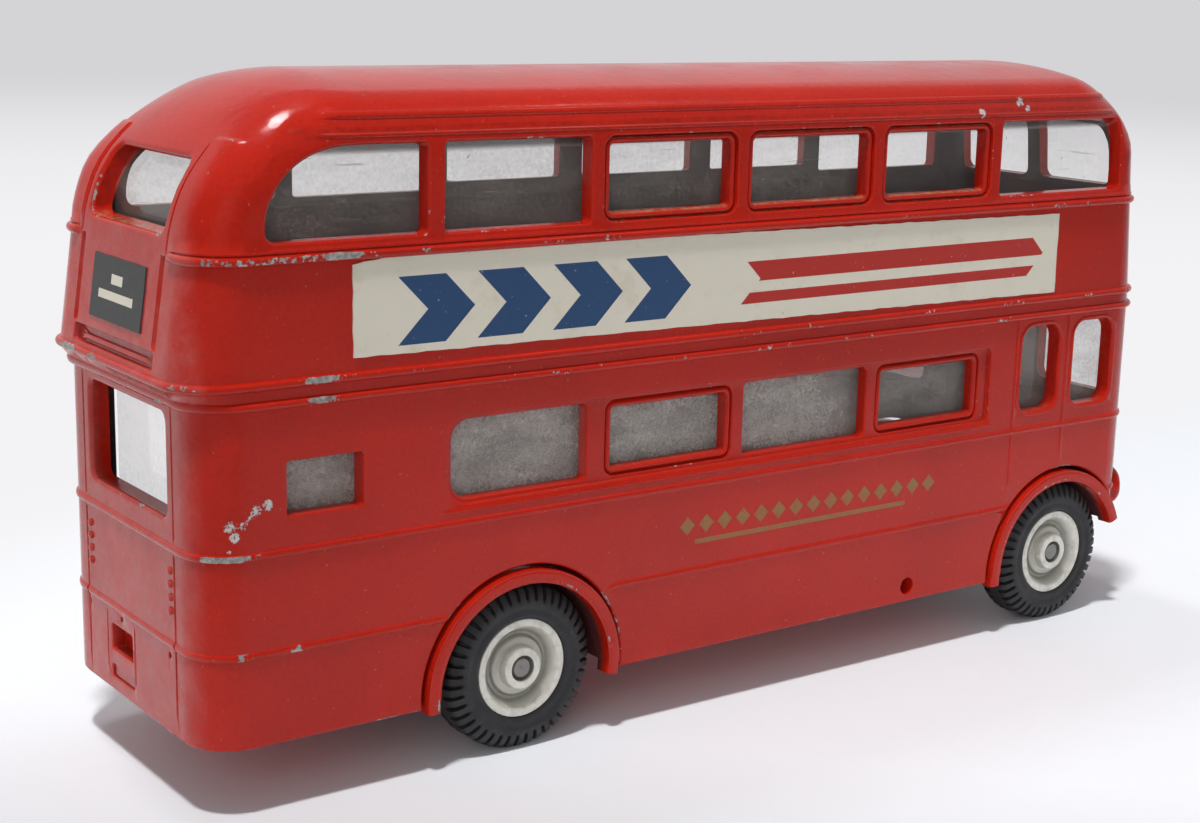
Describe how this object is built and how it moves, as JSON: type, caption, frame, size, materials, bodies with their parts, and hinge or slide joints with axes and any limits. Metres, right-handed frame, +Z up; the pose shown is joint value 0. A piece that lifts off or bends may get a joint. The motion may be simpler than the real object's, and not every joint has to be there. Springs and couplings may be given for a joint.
{
  "type": "toy bus",
  "caption": "Die-cast toy half-cab double-deck bus with an open rear platform, see-through windows and wheels that roll on steel axles in a separate base.",
  "frame": {"origin": "on the ground, under the middle of the bus", "axes": "+X towards the front of the bus, +Y towards the nearside with the open platform, +Z up"},
  "size_m": [0.1102, 0.0288, 0.0578],
  "materials": {
    "red_enamel": "glossy red enamel over die-cast zinc, worn along beads and edges",
    "base_enamel": "red enamel over die-cast zinc",
    "clear_plastic": "clear moulding, hazy with dust and fine scratches",
    "bare_steel": "plain dulled steel",
    "hub_alloy": "dull turned alloy",
    "tyre_rubber": "matt black rubber",
    "cream_label": "printed paper label, aged cream",
    "dark_label": "printed paper label, dark grey"
  },
  "bodies": {
    "bus": {"body_shell": "red_enamel", "chassis_base": "base_enamel", "upper_glazing": "clear_plastic", "lower_glazing": "clear_plastic", "front_rivet": "bare_steel", "right_side_label": "cream_label", "left_side_label": "cream_label", "rear_destination_label": "dark_label", "front_destination_label": "dark_label"},
    "rear_wheels": {"rear_axle": "bare_steel", "rear_right_hub": "hub_alloy", "rear_left_hub": "hub_alloy", "rear_right_tyre": "tyre_rubber", "rear_left_tyre": "tyre_rubber"},
    "front_wheels": {"front_axle": "bare_steel", "front_right_hub": "hub_alloy", "front_left_hub": "hub_alloy", "front_right_tyre": "tyre_rubber", "front_left_tyre": "tyre_rubber"}
  },
  "joints": [
    {"name": "rear_wheels_spin", "type": "hinge", "parent": "bus", "child": "rear_wheels", "pos_m": [-0.0241, 0, 0.00737], "axis": [0, 1, 0], "continuous": true},
    {"name": "front_wheels_spin", "type": "hinge", "parent": "bus", "child": "front_wheels", "pos_m": [0.0429, 0, 0.00737], "axis": [0, 1, 0], "continuous": true}
  ]
}
